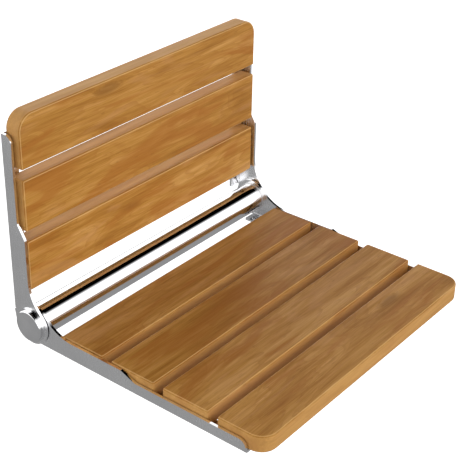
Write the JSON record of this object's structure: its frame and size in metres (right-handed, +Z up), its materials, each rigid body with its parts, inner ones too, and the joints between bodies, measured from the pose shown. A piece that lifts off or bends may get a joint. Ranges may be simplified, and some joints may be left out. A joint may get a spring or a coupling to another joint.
{
  "type": "folding shower seat",
  "caption": "Wall-mounted folding shower seat: slatted wooden seat and backrest on L-section steel side brackets, joined by a thick tubular hinge.",
  "frame": {"origin": "middle of the four wall bolts, on the wall plane", "axes": "+X to the right seen from the front, +Y into the wall, +Z up; the seat is modelled down"},
  "size_m": [0.475, 0.3961, 0.313],
  "materials": {
    "wood": "oiled, fine lengthwise grain",
    "bright_steel": "polished sheet steel",
    "polished_steel": "mirror polished",
    "plain_steel": "turned, unpolished",
    "bearing_plastic": "natural acetal"
  },
  "bodies": {
    "wall_frame": {"back_slat_lower": "wood", "back_slat_middle": "wood", "back_slat_upper": "wood", "back_slat_screws": "plain_steel", "axle": "plain_steel", "back_bracket_left": "bright_steel", "back_bracket_right": "bright_steel", "thrust_washer_left": "bearing_plastic", "thrust_washer_right": "bearing_plastic", "pivot_bolt_left": "plain_steel", "pivot_bolt_right": "plain_steel", "cap_ring_left": "polished_steel", "cap_ring_right": "polished_steel", "end_cap_left": "polished_steel", "end_cap_right": "polished_steel", "stop_pin_left": "plain_steel", "stop_pin_right": "plain_steel"},
    "seat": {"seat_slat_rear": "wood", "seat_slat_second": "wood", "seat_slat_third": "wood", "seat_slat_front": "wood", "seat_slat_screws": "plain_steel", "cross_tube": "polished_steel", "seat_bracket_left": "bright_steel", "seat_bracket_right": "bright_steel", "tube_plug_left": "plain_steel", "tube_plug_right": "plain_steel", "tube_collar_left": "polished_steel", "tube_collar_right": "polished_steel", "hinge_bush_left": "bearing_plastic", "hinge_bush_right": "bearing_plastic"}
  },
  "joints": [
    {"name": "seat_fold", "type": "hinge", "parent": "wall_frame", "child": "seat", "pos_m": [0, -0.0305, -0.1205], "axis": [-1, 0, 0], "range_deg": [0, 90]}
  ]
}
